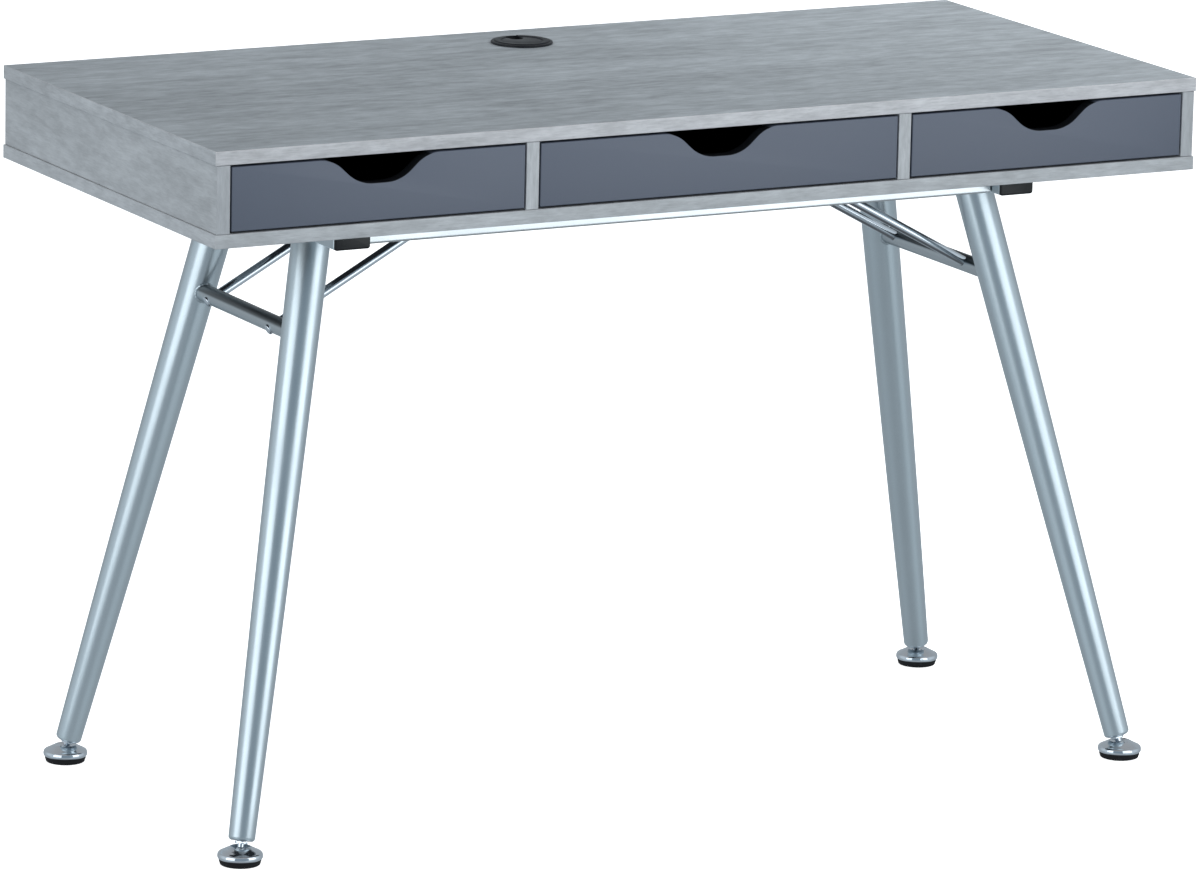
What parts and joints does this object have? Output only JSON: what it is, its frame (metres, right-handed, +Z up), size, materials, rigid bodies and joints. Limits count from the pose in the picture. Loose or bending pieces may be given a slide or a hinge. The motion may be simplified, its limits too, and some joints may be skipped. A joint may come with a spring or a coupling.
{
  "type": "writing desk with drawers",
  "caption": "Writing desk: shallow grey wood-grain case with inset finger-scoop drawers and a cable grommet, on splayed tapered silver legs with crossbars, thin braces and levelling feet.",
  "frame": {"origin": "on the floor, under the middle of the desktop", "axes": "+X to the right along the desk's length, +Y from the drawer fronts towards the back, +Z up"},
  "size_m": [1.2, 0.55, 0.7848],
  "materials": {
    "desktop_grey": "satin grey wood-grain foil, fine grain lengthwise",
    "board_grey": "satin light grey wood-grain foil",
    "drawer_slate": "smooth satin slate blue lacquer",
    "drawer_box": "plain black foil",
    "frame_silver": "silver powder coat with a soft gloss",
    "brace_chrome": "polished",
    "foot_chrome": "polished",
    "black_plastic": "moulded, faint texture",
    "black_rubber": "matte",
    "runner_steel": "zinc plated"
  },
  "bodies": {
    "root": {"back_panel": "board_grey", "beam_cap_left_front": "black_plastic", "beam_cap_left_rear": "black_plastic", "beam_cap_right_front": "black_plastic", "beam_cap_right_rear": "black_plastic", "beam_left": "frame_silver", "beam_right": "frame_silver", "bottom_board": "board_grey", "brace_front_left": "brace_chrome", "brace_front_right": "brace_chrome", "brace_rear_left": "brace_chrome", "brace_rear_right": "brace_chrome", "crossbar_left": "frame_silver", "crossbar_right": "frame_silver", "divider_left": "board_grey", "divider_right": "board_grey", "grommet_sleeve": "black_plastic", "leg_front_left": "frame_silver", "leg_front_right": "frame_silver", "leg_rear_left": "frame_silver", "leg_rear_right": "frame_silver", "rail_front": "frame_silver", "rail_rear": "frame_silver", "runner_left_left": "runner_steel", "runner_left_right": "runner_steel", "runner_middle_left": "runner_steel", "runner_middle_right": "runner_steel", "runner_right_left": "runner_steel", "runner_right_right": "runner_steel", "side_panel_left": "board_grey", "side_panel_right": "board_grey", "top_board": "desktop_grey"},
    "drawer_left": {"drawer_front_left": "drawer_slate", "drawer_left_side_left": "drawer_box", "drawer_left_side_right": "drawer_box", "drawer_left_back": "drawer_box", "drawer_left_bottom": "drawer_box"},
    "drawer_middle": {"drawer_front_middle": "drawer_slate", "drawer_middle_side_left": "drawer_box", "drawer_middle_side_right": "drawer_box", "drawer_middle_back": "drawer_box", "drawer_middle_bottom": "drawer_box"},
    "drawer_right": {"drawer_front_right": "drawer_slate", "drawer_right_side_left": "drawer_box", "drawer_right_side_right": "drawer_box", "drawer_right_back": "drawer_box", "drawer_right_bottom": "drawer_box"},
    "grommet_cap": {"grommet_cap": "black_plastic"},
    "foot_front_left": {"foot_dish_front_left": "foot_chrome", "foot_pad_front_left": "black_rubber"},
    "stud_front_left": {"foot_stud_front_left": "foot_chrome"},
    "foot_front_right": {"foot_dish_front_right": "foot_chrome", "foot_pad_front_right": "black_rubber"},
    "stud_front_right": {"foot_stud_front_right": "foot_chrome"},
    "foot_rear_left": {"foot_dish_rear_left": "foot_chrome", "foot_pad_rear_left": "black_rubber"},
    "stud_rear_left": {"foot_stud_rear_left": "foot_chrome"},
    "foot_rear_right": {"foot_dish_rear_right": "foot_chrome", "foot_pad_rear_right": "black_rubber"},
    "stud_rear_right": {"foot_stud_rear_right": "foot_chrome"}
  },
  "joints": [
    {"name": "drawer_left_slide", "type": "slide", "parent": "root", "child": "drawer_left", "axis": [0, -1, 0], "range_m": [0, 0.3]},
    {"name": "drawer_middle_slide", "type": "slide", "parent": "root", "child": "drawer_middle", "axis": [0, -1, 0], "range_m": [0, 0.3]},
    {"name": "drawer_right_slide", "type": "slide", "parent": "root", "child": "drawer_right", "axis": [0, -1, 0], "range_m": [0, 0.3]},
    {"name": "grommet_cap_turn", "type": "hinge", "parent": "root", "child": "grommet_cap", "pos_m": [0, 0.195, 0.781], "axis": [0, 0, 1], "continuous": true},
    {"name": "foot_front_left_extend", "type": "slide", "parent": "root", "child": "foot_front_left", "axis": [-0.2101, -0.1992, -0.9572], "range_m": [0, 0.012]},
    {"name": "foot_front_left_screw", "type": "hinge", "parent": "foot_front_left", "child": "stud_front_left", "pos_m": [-0.54953, -0.24589, 0.014], "axis": [-0.2101, -0.1992, -0.9572], "range_deg": [0, 2880]},
    {"name": "foot_front_right_extend", "type": "slide", "parent": "root", "child": "foot_front_right", "axis": [0.2101, -0.1992, -0.9572], "range_m": [0, 0.012]},
    {"name": "foot_front_right_screw", "type": "hinge", "parent": "foot_front_right", "child": "stud_front_right", "pos_m": [0.54953, -0.24589, 0.014], "axis": [0.2101, -0.1992, -0.9572], "range_deg": [0, 2880]},
    {"name": "foot_rear_left_extend", "type": "slide", "parent": "root", "child": "foot_rear_left", "axis": [-0.2118, 0.155, -0.965], "range_m": [0, 0.012]},
    {"name": "foot_rear_left_screw", "type": "hinge", "parent": "foot_rear_left", "child": "stud_rear_left", "pos_m": [-0.54953, 0.21035, 0.014], "axis": [-0.2118, 0.155, -0.965], "range_deg": [0, 2880]},
    {"name": "foot_rear_right_extend", "type": "slide", "parent": "root", "child": "foot_rear_right", "axis": [0.2118, 0.155, -0.965], "range_m": [0, 0.012]},
    {"name": "foot_rear_right_screw", "type": "hinge", "parent": "foot_rear_right", "child": "stud_rear_right", "pos_m": [0.54953, 0.21035, 0.014], "axis": [0.2118, 0.155, -0.965], "range_deg": [0, 2880]}
  ],
  "couplings": [
    {"joint": "foot_front_left_screw", "follows": "foot_front_left_extend", "rad_per_m": 4188.8},
    {"joint": "foot_front_right_screw", "follows": "foot_front_right_extend", "rad_per_m": 4188.8},
    {"joint": "foot_rear_left_screw", "follows": "foot_rear_left_extend", "rad_per_m": 4188.8},
    {"joint": "foot_rear_right_screw", "follows": "foot_rear_right_extend", "rad_per_m": 4188.8}
  ]
}
